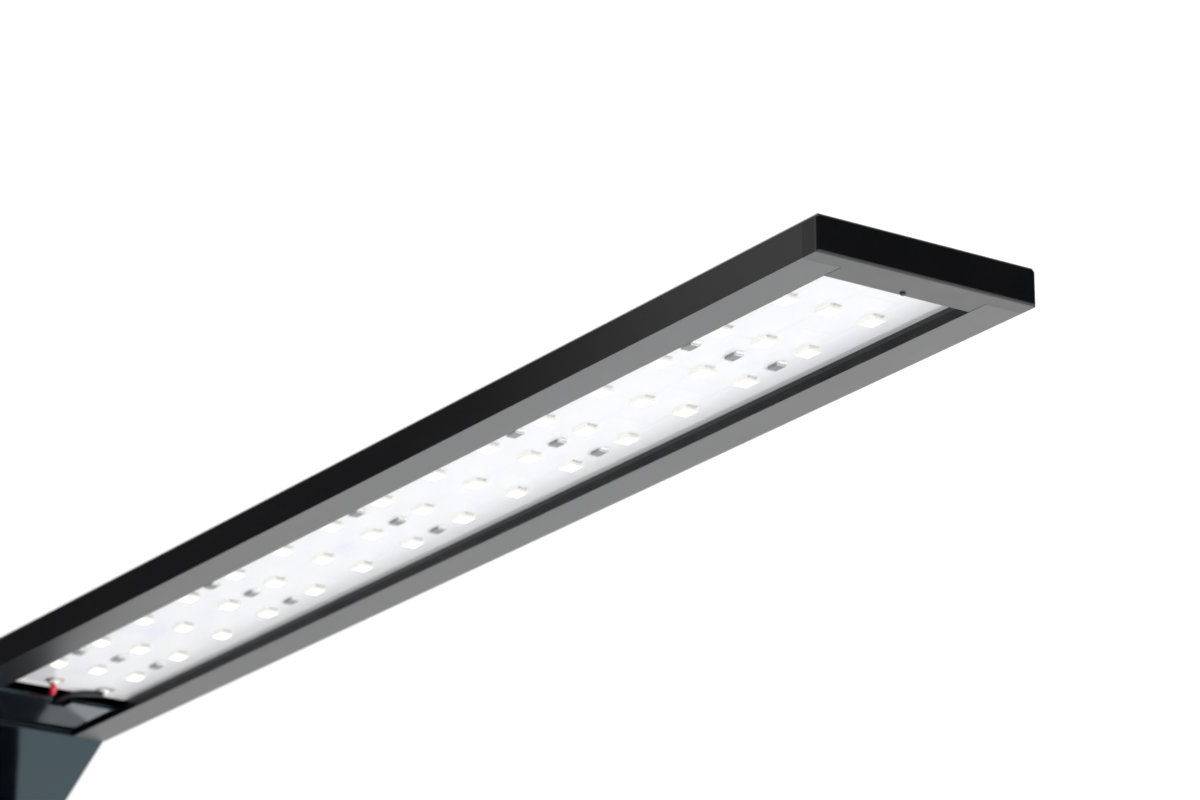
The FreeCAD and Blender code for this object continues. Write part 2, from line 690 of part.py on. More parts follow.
def make_elbow_bracket():
    """Painted steel strip, bent at the mitre, that ties the channel to the neck."""
    made = body("elbow_bracket")
    near = WALL_DEPTH + " - bracket_thick"
    near_x, near_z = neck_corner(near)
    far_x, far_z = neck_corner(WALL_DEPTH)
    run = "bracket_leg * cos(slope_angle * 1 deg)"
    fall = "bracket_leg * sin(slope_angle * 1 deg)"
    strip = sketch(made, "strip", "XZ_Plane")
    outline(strip, [
        (near_x, near_z), ("bend_x + bracket_leg", near_z), ("bend_x + bracket_leg", far_z),
        (far_x, far_z), ("%s - %s" % (far_x, run), "%s - %s" % (far_z, fall)),
        ("%s - %s" % (near_x, run), "%s - %s" % (near_z, fall)),
    ])
    extrude(made, strip, "bracket_width", both_ways=True)
    holes = sketch(made, "head_holes", "XY_Plane", HEAD_TOP)
    for side in ("0 - screw_spacing / 2", "screw_spacing / 2"):
        circle(holes, "bend_x + bracket_leg / 2", side, "screw_radius + 0.02")
    pocket(made, holes, "head_thick * 2", both_ways=True)
    seat = sketch(made, "slope_holes", "XZ_Plane", "0 - screw_spacing / 2")
    place_slope_sketch(seat)
    rectangle(seat, "0", "screw_radius + 0.02", "0 - head_thick", "0")
    groove = spin(made, seat, "Groove")
    repeat(made, seat, "N_Axis", "screw_spacing", "2", only=[groove])
    return made


def countersunk_screws(label, spot, tilt, length, size=1.0):
    """A pair of cross-head screws across the light, heads at a spot and tilted about Y."""
    made = body(label)
    half = sketch(made, "half_section", "XZ_Plane", "0 - screw_spacing / 2")
    scale = " * %g" % size
    screw_outline(half, "screw_head_radius" + scale, "screw_radius", "screw_head_deep" + scale, length)
    spin(made, half)
    cross = sketch(made, "cross_recess", "XY_Plane")
    arm, slot = "screw_radius" + scale, "screw_radius * 0.22"
    middle = "screw_spacing / 2"
    outline(cross, [
        ("0 - " + arm, middle + " - " + slot), ("0 - " + slot, middle + " - " + slot),
        ("0 - " + slot, middle + " - " + arm), (slot, middle + " - " + arm),
        (slot, middle + " - " + slot), (arm, middle + " - " + slot),
        (arm, middle + " + " + slot), (slot, middle + " + " + slot),
        (slot, middle + " + " + arm), ("0 - " + slot, middle + " + " + arm),
        ("0 - " + slot, middle + " + " + slot), ("0 - " + arm, middle + " + " + slot),
    ])
    pocket(made, cross, "screw_head_deep * 0.7")
    repeat(made, half, "N_Axis", "screw_spacing", "2")
    made.Placement = Placement(Vector(*[number(part) for part in spot]), Rotation(Vector(0, 1, 0), tilt))
    return made


def make_neck_screws():
    """Two screws down into the bracket through the channel, two through the neck."""
    through_web = "head_thick - (%s) + bracket_thick" % WALL_DEPTH
    countersunk_screws("head_screws", ("bend_x + bracket_leg / 2", "0", HEAD_TOP), 0, through_web)
    top_x, top_z = neck_corner("head_thick")
    along = "bracket_leg / 2"
    spot = ("%s - %s * cos(slope_angle * 1 deg)" % (top_x, along), "0",
            "%s - %s * sin(slope_angle * 1 deg)" % (top_z, along))
    countersunk_screws("bracket_screws", spot, -VALUE["slope_angle"], through_web)
    countersunk_screws("clamp_screws", ("jaw_back_x", "0", "clamp_screw_z"), -90,
                       "0 - jaw_back_x + neck_front_x - 1.9", 1.25)


# ---------------------------------------------------------------- the clamp

def make_clamp_body():
    """Moulded U that straddles the glass: outer jaw, bridge and inner jaw."""
    made = body("clamp_body")
    inner_face = "jaw_front_x - jaw_thick"
    profile = sketch(made, "profile", "XZ_Plane")
    outline(profile, [
        ("jaw_back_x", "neck_foot_z"), ("neck_front_x", "neck_foot_z"),
        ("jaw_front_x", "gusset_front_z"), ("jaw_front_x", "inner_jaw_z"),
        (inner_face, "inner_jaw_z"), (inner_face, "liner_thick"),
        ("neck_front_x", "liner_thick"), ("neck_front_x", "outer_jaw_z"),
        ("jaw_back_x", "outer_jaw_z"),
    ])
    extrude(made, profile, "head_width", both_ways=True)

    def jaw_tip(place, tangent):
        at_foot = place.z < VALUE["inner_jaw_z"] + 0.01
        outside = place.x < VALUE["jaw_back_x"] + 0.01 or place.x > VALUE["jaw_front_x"] - 0.01
        return abs(tangent.y) > 0.99 and at_foot and outside

    def side_edge(place, tangent):
        on_side = abs(place.y) > VALUE["head_width"] / 2 - 0.01
        in_throat = (VALUE["neck_front_x"] - 0.01 < place.x < number(inner_face) + 0.01
                     and place.z < VALUE["liner_thick"] + 0.01)
        on_top = place.z > VALUE["neck_foot_z"] - 0.01
        return on_side and not in_throat and not on_top

    def back_shoulder(place, tangent):
        at_back = place.x < VALUE["jaw_back_x"] + 0.01
        return at_back and place.z > VALUE["neck_foot_z"] - 0.01 and abs(tangent.y) > 0.99

    soften(made, jaw_tip, "jaw_round")
    soften(made, side_edge, "corner_radius", "Chamfer")
    soften(made, back_shoulder, "corner_radius * 3", "Chamfer")

    socket = sketch(made, "tongue_socket", "XY_Plane", "neck_foot_z")
    rectangle(socket, "neck_front_x - head_thick + 1 - fit_gap",
              "neck_front_x - head_thick + 1 + tongue_thick + fit_gap",
              "0 - tongue_width / 2 - fit_gap", "tongue_width / 2 + fit_gap")
    pocket(made, socket, "tongue_long + fit_gap")

    bores = sketch(made, "insert_bores", "YZ_Plane", "jaw_back_x")
    clearances = sketch(made, "rod_clearance", "YZ_Plane", "jaw_back_x")
    recesses = sketch(made, "pad_recesses", "YZ_Plane", "neck_front_x")
    for side in ("0 - thumbscrew_y", "thumbscrew_y"):
        circle(bores, side, "thumbscrew_z", "insert_radius")
        circle(clearances, side, "thumbscrew_z", "thread_bore + 0.2")
        circle(recesses, side, "thumbscrew_z", "pad_radius + 0.4")
    pocket(made, bores, "insert_long", reverse=True)
    pocket(made, clearances, "neck_front_x - jaw_back_x", reverse=True)
    pocket(made, recesses, "recess_deep")

    seat = sketch(made, "clamp_screw_seat", "XY_Plane", "clamp_screw_z")
    bind(seat, AttachmentOffset__Base__x="jaw_back_x", AttachmentOffset__Base__y="0 - screw_spacing / 2")
    outline(seat, [
        ("0", "0"), ("0", "screw_head_radius * 1.25 + 0.02"),
        ("screw_head_deep * 1.25", "screw_radius + 0.02"), ("jaw_thick", "screw_radius + 0.02"),
        ("jaw_thick", "0"),
    ])
    groove = made.newObject("PartDesign::Groove", "clamp_screw_groove")
    groove.Profile = seat
    groove.ReferenceAxis = (seat, ["H_Axis"])
    groove.Angle = 360
    doc.recompute()
    repeat(made, seat, "V_Axis", "screw_spacing", "2", only=[groove])
    return made


def make_clamp_liners():
    """Rubber on the rim seat and on the inner jaw."""
    block("rim_pad", "neck_front_x", "jaw_front_x - jaw_thick - liner_thick",
          "0 - liner_width / 2", "liner_width / 2", "0", "liner_thick")
    block("jaw_liner", "jaw_front_x - jaw_thick - liner_thick", "jaw_front_x - jaw_thick",
          "0 - liner_width / 2", "liner_width / 2", "inner_jaw_z + 2", "0 - 3")


def make_thread_inserts():
    """Brass bushes pressed into the outer jaw."""
    made = body("thread_inserts")
    rings = sketch(made, "rings", "YZ_Plane", "jaw_back_x")
    for side in ("0 - thumbscrew_y", "thumbscrew_y"):
        circle(rings, side, "thumbscrew_z", "insert_radius")
        circle(rings, side, "thumbscrew_z", "thread_bore")
    extrude(made, rings, "insert_long")
    return made


def along_x(owner, name, y_side):
    """A sketch across the thumbscrew's axis, for revolved parts: its V axis is that axis."""
    made = sketch(owner, name, "XY_Plane")
    bind(made, AttachmentOffset__Base__y=y_side, AttachmentOffset__Base__z="thumbscrew_z")
    return made


def revolve_on_screw_axis(owner, name, y_side, corners):
    """Turn a half section, drawn as (along X, radius) formulas, about a thumbscrew's axis."""
    half = along_x(owner, name, y_side)
    outline(half, corners)
    made = owner.newObject("PartDesign::Revolution", name + "_turned")
    made.Profile = half
    made.ReferenceAxis = (half, ["H_Axis"])
    made.Angle = 360
    doc.recompute()
    return half


def make_thumbscrew(side, y_side):
    """Threaded rod, fluted knob, and the swivel pad with its rubber face."""
    rod_start, knob_back = "pad_back_x - 0.15", "knob_front_x - knob_thick"
    rod = body("thumbscrew_" + side)
    revolve_on_screw_axis(rod, "rod_section", y_side, [
        ("knob_front_x - knob_thick * 0.8", "0"), ("knob_front_x - knob_thick * 0.8", "rod_radius"),
        (rod_start, "rod_radius"), (rod_start, "pivot_radius"),
        (rod_start + " + pivot_long", "pivot_radius"), (rod_start + " + pivot_long", "0"),
    ])

    knob = body("knob_" + side)
    half = revolve_on_screw_axis(knob, "knob_section", y_side, [
        ("knob_front_x", "rod_radius"), ("knob_front_x", "knob_radius * 0.62"),
        ("knob_front_x - knob_thick * 0.28", "knob_radius * 0.7"),
        ("knob_front_x - knob_thick * 0.36", "knob_radius"),
        (knob_back + " + 0.8", "knob_radius"), (knob_back, "knob_radius - 0.8"),
        (knob_back, "0"), ("knob_front_x - knob_thick * 0.8", "0"),
        ("knob_front_x - knob_thick * 0.8", "rod_radius"),
    ])
    flute = sketch(knob, "flute", "YZ_Plane", knob_back)
    circle(flute, y_side, "thumbscrew_z + knob_radius + 0.75", "1.3")
    cut = pocket(knob, flute, "knob_thick", reverse=True)
    ring = knob.newObject("PartDesign::PolarPattern", "flutes")
    ring.Originals = [cut]
    ring.Axis = (half, ["H_Axis"])
    ring.Angle = 360
    bind(ring, Occurrences="knob_flutes")
    knob.Tip = ring

    pad = body("pressure_pad_" + side)
    revolve_on_screw_axis(pad, "pad_section", y_side, [
        ("pad_back_x", "pivot_radius + 0.05"), ("pad_back_x", "pad_radius - 0.4"),
        ("pad_back_x + 0.4", "pad_radius"), ("pad_back_x + pad_thick", "pad_radius"),
        ("pad_back_x + pad_thick", "0"), ("pad_back_x + pivot_long - 0.1", "0"),
        ("pad_back_x + pivot_long - 0.1", "pivot_radius + 0.05"),
    ])
    face = body("pad_face_" + side)
    face_start = "pad_back_x + pad_thick"
    revolve_on_screw_axis(face, "face_section", y_side, [
        (face_start, "0"), (face_start, "pad_radius - 0.3"),
        (face_start + " + liner_thick * 0.7", "pad_radius - 0.3"),
        (face_start + " + liner_thick", "pad_radius - 0.6"), (face_start + " + liner_thick", "0"),
    ])


# ---------------------------------------------------------------- cable, switch and plug

def upright_turned(label, x_place, corners):
    """A piece turned about the vertical line of the cable's drop, from (radius, Z) formulas."""
    made = body(label)
    half = sketch(made, "half_section", "XZ_Plane")
    bind(half, AttachmentOffset__Base__x=x_place)
    outline(half, corners)
    spin(made, half)
    return made


def make_cable_gland():
    """Rubber bush with a flange inside and outside the wall and a tapered tail."""
    made = body("cable_gland")
    half = sketch(made, "half_section", "XY_Plane")
    bind(half, AttachmentOffset__Base__z="gland_z")
    back = "neck_front_x - head_thick"
    wall = "neck_front_x - (%s)" % WALL_DEPTH
    outline(half, [
        (wall + " + 0.8", "cable_radius + 0.05"), (wall + " + 0.8", "gland_radius + 0.9"),
        (wall + " + 0.02", "gland_radius + 0.9"), (wall + " + 0.02", "gland_radius"),
        (back + " - 0.02", "gland_radius"), (back + " - 0.02", "gland_radius + 1.8"),
        (back + " - 1.8", "gland_radius + 1.4"), (back + " - 2.4", "gland_radius + 0.6"),
        (back + " - gland_tail", "gland_radius - 0.3"), (back + " - gland_tail", "cable_radius + 0.05"),
    ])
    made_turn = made.newObject("PartDesign::Revolution", "gland_turned")
    made_turn.Profile = half
    made_turn.ReferenceAxis = (half, ["H_Axis"])
    made_turn.Angle = 360
    doc.recompute()
    return made


def make_cables():
    """Cable from the gland round and down to the switch, and on to the plug."""
    start = "neck_front_x - (%s) + 0.5" % WALL_DEPTH
    flexible_lead("power_cable_upper", [
        (start, "0", "gland_z"),
        ("switch_x", "0", "gland_z"),
        ("switch_x", "0", "switch_z + switch_long / 2 - 3"),
    ], "cable_radius", "cable_bend")
    lower = piece("Part::Cylinder", "power_cable_lower")
    bind(lower, Radius="cable_radius",
         Height="switch_z - switch_long / 2 + 3 - (plug_top_z - plug_long * 0.6)",
         Placement__Base__x="switch_x", Placement__Base__z="plug_top_z - plug_long * 0.6")


def switch_shell(label, reverse):
    """Half of the switch: a rounded tray whose rim lies on the split plane."""
    made = body(label)
    rim = sketch(made, "rim", "YZ_Plane", "switch_x")
    end_z = "switch_long / 2"
    rectangle(rim, "0 - switch_wide / 2", "switch_wide / 2",
              "switch_z - " + end_z, "switch_z + " + end_z)
    extrude(made, rim, "switch_half", reverse=reverse)
    face_x = VALUE["switch_x"] + (-1 if reverse else 1) * VALUE["switch_half"]

    def upright_corner(place, tangent):
        return abs(tangent.x) > 0.99

    def face_edge(place, tangent):
        return abs(place.x - face_x) < 0.01

    soften(made, upright_corner, "switch_corner")
    soften(made, face_edge, "switch_wall")
    inside = sketch(made, "inside", "YZ_Plane", "switch_x")
    rectangle(inside, "0 - switch_wide / 2 + switch_wall", "switch_wide / 2 - switch_wall",
              "switch_z - %s + switch_wall + 3" % end_z, "switch_z + %s - switch_wall - 3" % end_z)
    pocket(made, inside, "switch_half - switch_wall", reverse=not reverse)
    entries = sketch(made, "cable_entries", "XY_Plane", "switch_z")
    circle(entries, "switch_x", "0", "cable_radius + 0.05")
    pocket(made, entries, "switch_long * 1.2", both_ways=True)
    return made


def make_switch_screws(front, back):
    """Two screws in opposite corners of the back shell, and their holes through both shells."""
    screws = body("switch_screws")
    back_face = "switch_x + switch_half"
    head_top = back_face + " - 0.3"
    counterbores = sketch(back, "counterbores", "YZ_Plane", back_face)
    heads = sketch(screws, "heads", "YZ_Plane", head_top)
    shanks = sketch(screws, "shanks", "YZ_Plane", head_top)
    driver_slots = sketch(screws, "driver_slots", "YZ_Plane", head_top)
    front_holes = sketch(front, "front_holes", "YZ_Plane", "switch_x")
    back_holes = sketch(back, "back_holes", "YZ_Plane", "switch_x")
    for sign in ("1", "-1"):
        across, up = "switch_screw_y * (%s)" % sign, "switch_z + switch_screw_z * (%s)" % sign
        circle(counterbores, across, up, "screw_head_radius + 0.02")
        circle(heads, across, up, "screw_head_radius")
        circle(shanks, across, up, "screw_radius")
        rectangle(driver_slots, across + " - screw_radius * 1.3", across + " + screw_radius * 1.3",
                  up + " - screw_radius / 4", up + " + screw_radius / 4")
        circle(front_holes, across, up, "screw_radius + 0.02")
        circle(back_holes, across, up, "screw_radius + 0.02")
    pocket(front, front_holes, "switch_half - switch_wall")
    pocket(back, back_holes, "switch_half", reverse=True)
    pocket(back, counterbores, "switch_screw_deep")
    extrude(screws, heads, "switch_screw_deep - 0.3", reverse=True)
    extrude(screws, shanks, "switch_half + 3", reverse=True)
    pocket(screws, driver_slots, "screw_radius * 0.6")


def make_switch_button():
    """Push button with a rounded cap and a wider skirt that keeps it inside the shell."""
    button = body("switch_button")
    cap = sketch(button, "cap", "YZ_Plane", "switch_x - switch_half - button_proud")
    rectangle(cap, "0 - button_wide / 2", "button_wide / 2",
              "switch_z - button_long / 2", "switch_z + button_long / 2")
    extrude(button, cap, "button_proud + switch_wall + 0.05")
    cap_face = VALUE["switch_x"] - VALUE["switch_half"] - VALUE["button_proud"] + 0.01

    def button_corner(place, tangent):
        return abs(tangent.x) > 0.99

    def button_face(place, tangent):
        return place.x < cap_face

    soften(button, button_corner, "corner_radius * 2")
    soften(button, button_face, "corner_radius")
    skirt = sketch(button, "skirt", "YZ_Plane", "switch_x - switch_half + switch_wall + 0.05")
    rectangle(skirt, "0 - button_wide / 2 - 1", "button_wide / 2 + 1",
              "switch_z - button_long / 2 - 1", "switch_z + button_long / 2 + 1")
    extrude(button, skirt, "1")


def make_switch():
    """In-line push switch: two shells, their screws, the captive button and the contact block."""
    front = switch_shell("switch_front_shell", True)
    window = sketch(front, "button_window", "YZ_Plane", "switch_x - switch_half")
    rectangle(window, "0 - button_wide / 2 - fit_gap", "button_wide / 2 + fit_gap",
              "switch_z - button_long / 2 - fit_gap", "switch_z + button_long / 2 + fit_gap")
    pocket(front, window, "switch_wall * 2", reverse=True)
    back = switch_shell("switch_back_shell", False)
    make_switch_screws(front, back)
    make_switch_button()
    block("switch_contact_block", "switch_x - switch_half + switch_wall + 2",
          "switch_x + switch_half - switch_wall", "0 - 4", "4", "switch_z - 4", "switch_z + 4")


def make_plug():
    """Moulded grip with a tapered tail, and a 5.5 mm barrel round its centre contact."""
    tail, foot = "plug_top_z - plug_long * 0.45", "plug_top_z - plug_long"
    upright_turned("plug_body", "switch_x", [
        ("cable_radius + 0.05", "plug_top_z"), ("cable_radius + 0.8", "plug_top_z"),
        ("plug_radius * 0.62", tail), ("plug_radius * 0.94", tail + " - 1"),
        ("plug_radius", tail + " - 3"), ("plug_radius", foot + " + 1"),
        ("plug_radius - 0.6", foot), ("0", foot),
        ("0", "plug_top_z - plug_long * 0.6"), ("cable_radius + 0.05", "plug_top_z - plug_long * 0.6"),
    ])
    end = foot + " - barrel_long"
    walls = [("plug_barrel", "barrel_radius", "barrel_radius - 0.35"),
             ("plug_insulator", "barrel_radius - 0.35", "barrel_bore + 0.3"),
             ("plug_contact", "barrel_bore + 0.3", "barrel_bore")]
    for label, outer, inner in walls:
        upright_turned(label, "switch_x", [
            (inner, foot), (outer, foot), (outer, end), (inner, end),
        ])


def check_and_write():
    """Stop on any failed feature or bad shape, then write one file for each piece."""
    doc.recompute()
    for thing in doc.Objects:
        if {"Invalid", "Error"} & set(thing.State):
            raise RuntimeError(thing.Name + " failed: " + str(thing.State))
    os.makedirs("parts", exist_ok=True)
    for made in PIECES:
        if made.Shape.isNull() or not made.Shape.isValid() or not made.Shape.Solids:
            raise RuntimeError(made.Label + " has no valid solid")
        made.Shape.exportStep("parts/%s.step" % made.Label)
        print("%-22s %3d solids  %10.2f mm3" % (made.Label, len(made.Shape.Solids), made.Shape.Volume))


fill_sheet()
make_head_extrusion()
make_end_cap()
make_light_engine()
make_leds()
make_resistors()
make_board_wiring()
make_neck_shell()
make_neck_cover()
make_elbow_bracket()
make_neck_screws()
make_clamp_body()
make_clamp_liners()
make_thread_inserts()
make_thumbscrew("left", "thumbscrew_y")
make_thumbscrew("right", "0 - thumbscrew_y")
make_cable_gland()
make_cables()
make_switch()
make_plug()
check_and_write()
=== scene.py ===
"""Looks of a clip-on LED light for a small aquarium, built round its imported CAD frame.

Everything is in metres in the row frame: +X towards the light's free end, +Z up, and the
origin at the middle of the rim seat. The script gives every CAD piece a procedural finish,
adds the small pieces that belong to the looks, and sets up the studio.
"""
import json
import math

import bmesh
import bpy
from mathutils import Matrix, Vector

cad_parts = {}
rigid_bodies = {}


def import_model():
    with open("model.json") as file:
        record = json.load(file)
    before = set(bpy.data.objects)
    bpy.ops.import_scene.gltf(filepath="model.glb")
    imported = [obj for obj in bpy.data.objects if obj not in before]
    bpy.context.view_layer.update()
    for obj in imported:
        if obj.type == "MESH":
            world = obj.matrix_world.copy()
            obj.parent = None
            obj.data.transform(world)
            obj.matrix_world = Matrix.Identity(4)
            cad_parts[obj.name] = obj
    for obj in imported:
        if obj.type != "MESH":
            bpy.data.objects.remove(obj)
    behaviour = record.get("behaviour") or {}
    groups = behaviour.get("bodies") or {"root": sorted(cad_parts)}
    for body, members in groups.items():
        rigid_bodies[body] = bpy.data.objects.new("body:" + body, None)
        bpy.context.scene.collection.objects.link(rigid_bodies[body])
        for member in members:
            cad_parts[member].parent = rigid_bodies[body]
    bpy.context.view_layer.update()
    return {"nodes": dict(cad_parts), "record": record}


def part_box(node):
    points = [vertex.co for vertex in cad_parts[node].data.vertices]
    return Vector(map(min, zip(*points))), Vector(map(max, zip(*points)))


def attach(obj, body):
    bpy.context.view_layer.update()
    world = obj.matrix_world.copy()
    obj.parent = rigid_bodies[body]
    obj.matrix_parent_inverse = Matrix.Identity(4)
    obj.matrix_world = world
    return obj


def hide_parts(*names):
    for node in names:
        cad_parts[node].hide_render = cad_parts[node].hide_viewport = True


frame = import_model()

MM = 0.001
FULL_TURN = 2.0 * math.pi

# The light itself, as far as the finishes and small pieces need it.
RAIL_WIDTH = 6.95 * MM
LED_PITCH = 16.6667 * MM
LED_ROW_PITCH = 8.27 * MM
THREAD_PITCH = 1.0 * MM
THREAD_DEPTH = 0.61 * THREAD_PITCH
PIVOT_LONG = 1.35 * MM
PIVOT_RADIUS = 2.05 * MM

# The studio.
FLOOR_Z = -0.225
FLOOR_GREY = 0.86
ROOM_LEVEL = 0.02
PANELS = (
    # azimuth, elevation, fully bright within, dark beyond (degrees), strength
    (262.0, 12.0, 16.0, 36.0, 0.55),
    (0.0, 90.0, 25.0, 55.0, 1.00),
    (150.0, 40.0, 25.0, 40.0, 0.90),
    (100.0, 8.0, 14.0, 36.0, 0.55),
    (0.0, -2.0, 6.0, 22.0, 0.35),
)
BACKDROP_LEVEL = 1.05

# The camera.
CAMERA_PLACE = Vector((0.84194, -0.41905, -0.21369))
CAMERA_AIM = Vector((0.23145, -0.00669, 0.04946))
CAMERA_LENS = 146.14
CAMERA_F_STOP = 60.0


# ---------------------------------------------------------------- material toolkit

class Finish:
    """One procedural material round a Principled BSDF. Its textures are laid out in metres."""

    def __init__(self, name, colour, rough, metal=0.0, ior=1.5, soften=0.12 * MM):
        self.material = bpy.data.materials.new(name)
        self.material.use_nodes = True
        self.tree = self.material.node_tree
        self.bsdf = self.tree.nodes["Principled BSDF"]
        self.bsdf.inputs["Metallic"].default_value = metal
        self.bsdf.inputs["IOR"].default_value = ior
        self.place = self.add("ShaderNodeTexCoord").outputs["Object"]
        self.colour = self.constant("ShaderNodeRGB", (*colour, 1.0))
        self.rough = self.constant("ShaderNodeValue", rough)
        self.height = None
        rounded = self.add("ShaderNodeBevel", samples=4)
        rounded.inputs["Radius"].default_value = soften
        self.normal = rounded.outputs["Normal"]

    def add(self, kind, **settings):
        """A new node with its properties set."""
        made = self.tree.nodes.new(kind)
        for name, value in settings.items():
            setattr(made, name, value)
        return made

    def feed(self, socket, value):
        """Connect a socket, or set its value when given a plain number or colour."""
        if isinstance(value, bpy.types.NodeSocket):
            self.tree.links.new(value, socket)
        else:
            socket.default_value = value

    def constant(self, kind, value):
        """A node that only holds a value."""
        made = self.add(kind)
        made.outputs[0].default_value = value
        return made.outputs[0]

    def calculate(self, operation, first, second=0.0, clamp=False):
        """One arithmetic step."""
        made = self.add("ShaderNodeMath", operation=operation, use_clamp=clamp)
        self.feed(made.inputs[0], first)
        self.feed(made.inputs[1], second)
        return made.outputs[0]

    def stretched(self, stretch):
        """The texture place, drawn out along the axes whose stretch is above one."""
        made = self.add("ShaderNodeMapping")
        self.feed(made.inputs["Vector"], self.place)
        made.inputs["Scale"].default_value = [1.0 / value for value in stretch]
        return made.outputs[0]

    def noise(self, size, detail=3.0, stretch=(1, 1, 1), seed=0.0):
        """Cloudy noise from 0 to 1 whose clouds are about size across."""
        made = self.add("ShaderNodeTexNoise", noise_dimensions="4D")
        self.feed(made.inputs["Vector"], self.stretched(stretch))
        made.inputs["Scale"].default_value = 1.0 / size
        made.inputs["Detail"].default_value = detail
        made.inputs["W"].default_value = seed
        return made.outputs[0]

    def specks(self, spacing, radius, share=1.0, seed=0.0):
        """A mask of scattered dots; share is the part of the cells that holds one."""
        made = self.add("ShaderNodeTexVoronoi", voronoi_dimensions="4D")
        self.feed(made.inputs["Vector"], self.place)
        made.inputs["Scale"].default_value = 1.0 / spacing
        made.inputs["W"].default_value = seed
        dot = self.band(made.outputs["Distance"], radius / spacing, 0.4 * radius / spacing)
        split = self.add("ShaderNodeSeparateColor")
        self.feed(split.inputs[0], made.outputs["Color"])
        kept = self.band(split.outputs[0], share, share * 0.98)
        return self.calculate("MULTIPLY", dot, kept)

    def band(self, value, start, end, low=0.0, high=1.0):
        """A smooth step of value from start to end."""
        made = self.add("ShaderNodeMapRange", interpolation_type="SMOOTHSTEP")
        self.feed(made.inputs["Value"], value)
        made.inputs["From Min"].default_value = start
        made.inputs["From Max"].default_value = end
        made.inputs["To Min"].default_value = low
        made.inputs["To Max"].default_value = high
        return made.outputs["Result"]

    def tint(self, mask, colour):
        """Blend the colour so far towards another where the mask is high."""
        made = self.add("ShaderNodeMix", data_type="RGBA")
        self.feed(made.inputs["Factor"], mask)
        self.feed(made.inputs[6], self.colour)
        self.feed(made.inputs[7], (*colour, 1.0))
        self.colour = made.outputs[2]

    def roughen(self, mask, amount):
        """Add to the roughness where the mask is high."""
        self.rough = self.calculate("ADD", self.rough, self.calculate("MULTIPLY", mask, amount), True)

    def relief(self, mask, depth):
        """Add height, in metres, where the mask is high."""
        raised = self.calculate("MULTIPLY", mask, depth / MM)
        self.height = raised if self.height is None else self.calculate("ADD", self.height, raised)

    def worn_edges(self, colour, radius=0.35 * MM, strength=0.6):
        """Lighter, patchy wear along the sharp edges."""
        rounded = self.add("ShaderNodeBevel", samples=4)
        rounded.inputs["Radius"].default_value = radius
        true_normal = self.add("ShaderNodeNewGeometry").outputs["Normal"]
        turn = self.add("ShaderNodeVectorMath", operation="DOT_PRODUCT")
        self.feed(turn.inputs[0], rounded.outputs["Normal"])
        self.feed(turn.inputs[1], true_normal)
        edge = self.band(turn.outputs["Value"], 0.99, 0.86)
        patch = self.band(self.noise(3.0 * MM, 4.0, seed=7.0), 0.46, 0.66)
        mask = self.calculate("MULTIPLY", edge, patch)
        self.tint(self.calculate("MULTIPLY", mask, strength), colour)

    def axis_value(self, axis):
        """Where the point is along X, Y or Z, in metres."""
        split = self.add("ShaderNodeSeparateXYZ")
        self.feed(split.inputs[0], self.place)
        return split.outputs["XYZ".index(axis)]

    def done(self):
        """Connect what has been built up and hand over the material."""
        self.feed(self.bsdf.inputs["Base Color"], self.colour)
        self.feed(self.bsdf.inputs["Roughness"], self.rough)
        if self.height is None:
            self.feed(self.bsdf.inputs["Normal"], self.normal)
            return self.material
        bump = self.add("ShaderNodeBump")
        bump.inputs["Strength"].default_value = 1.0
        bump.inputs["Distance"].default_value = MM
        self.feed(bump.inputs["Height"], self.height)
        self.feed(bump.inputs["Normal"], self.normal)
        self.feed(self.bsdf.inputs["Normal"], bump.outputs[0])
        return self.material


def dusty(finish, share=0.25, size=0.07 * MM, colour=(0.30, 0.31, 0.36)):
    """Fine bright dust grains, as on any black part under a lamp."""
    finish.tint(finish.specks(0.9 * MM, size, share, seed=2.0), colour)
    finish.tint(finish.specks(3.1 * MM, 2.0 * size, share * 0.35, seed=5.0), colour)


def hairlines(finish, strength=0.10, colour=(0.10, 0.10, 0.11)):
    """Long faint handling scratches, mostly along X."""
    lines = finish.noise(0.16 * MM, 1.0, (260, 2.2, 2.2), seed=11.0)
    here = finish.band(finish.noise(14 * MM, 2.0, seed=4.0), 0.52, 0.68)
    mask = finish.calculate("MULTIPLY", finish.band(lines, 0.70, 0.76), here)
    finish.tint(finish.calculate("MULTIPLY", mask, strength), colour)
    finish.roughen(mask, 0.10)


# ---------------------------------------------------------------- finishes

def black_anodised():
    """Bead-blasted, black-anodised aluminium extrusion."""
    made = Finish("black_anodised", (0.0028, 0.0028, 0.0042), 0.27, ior=1.77, soften=0.10 * MM)
    grain = made.noise(0.28 * MM, 2.0)
    made.tint(made.band(grain, 0.45, 0.75), (0.0052, 0.0052, 0.0072))
    low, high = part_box("end_cap")
    lip_face = 0.5 * (high.y - low.y) - RAIL_WIDTH
    off_middle = made.calculate("ABSOLUTE", made.axis_value("Y"))
    between_lips = made.band(off_middle, lip_face + 0.12 * MM, lip_face + 0.02 * MM)
    below_web = made.band(made.axis_value("Z"), low.z + 4.4 * MM, low.z + 4.2 * MM)
    # Painted shade: the inner lip walls below the web get far less shine, so they read darker as if in
    # shadow.
    shaded_lip_walls = made.calculate("MULTIPLY", between_lips, below_web)
    shine = made.calculate("SUBTRACT", 0.5, made.calculate("MULTIPLY", shaded_lip_walls, 0.42))
    made.feed(made.bsdf.inputs["Specular IOR Level"], shine)
    made.relief(grain, 0.010 * MM)
    made.relief(made.noise(0.5 * MM, 2.0, (90, 1, 1), seed=3.0), 0.004 * MM)
    made.roughen(made.noise(9 * MM, 3.0, (3, 1, 1)), 0.08)
    dusty(made)
    hairlines(made)
    made.worn_edges((0.07, 0.07, 0.075), 0.25 * MM, 0.5)
    return made.done()


